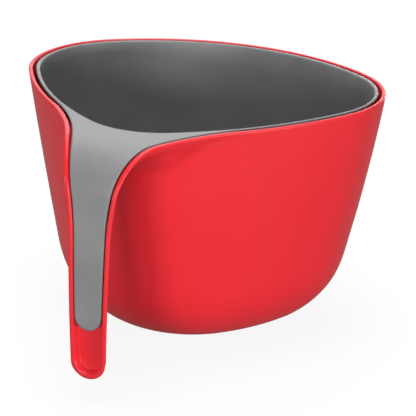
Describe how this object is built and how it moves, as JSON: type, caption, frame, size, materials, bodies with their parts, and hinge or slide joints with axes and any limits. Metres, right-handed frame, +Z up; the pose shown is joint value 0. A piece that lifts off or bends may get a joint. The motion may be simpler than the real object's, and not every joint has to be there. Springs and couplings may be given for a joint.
{
  "type": "colander and bowl set",
  "caption": "Nested colander and mixing bowl with a rounded three-cornered rim. The colander's strap handle lies in the bowl's trough handle, and the colander lifts out to drain.",
  "frame": {"origin": "on the table, under the middle of the whole object's plan, handle included", "axes": "+Z up, -Y towards the handle, X across the bowl"},
  "size_m": [0.2496, 0.2577, 0.1624],
  "materials": {
    "red_plastic": "satin moulded polypropylene",
    "grey_plastic": "fine matt moulded polypropylene",
    "pad_rubber": "matt non-slip rubber"
  },
  "bodies": {
    "bowl": {"outer_bowl": "red_plastic", "foot_front": "pad_rubber", "foot_left": "pad_rubber", "foot_right": "pad_rubber"},
    "strainer": {"colander": "grey_plastic"}
  },
  "joints": [
    {"name": "colander_lift", "type": "slide", "parent": "bowl", "child": "strainer", "axis": [0, 0, 1], "range_m": [0, 0.18]}
  ]
}
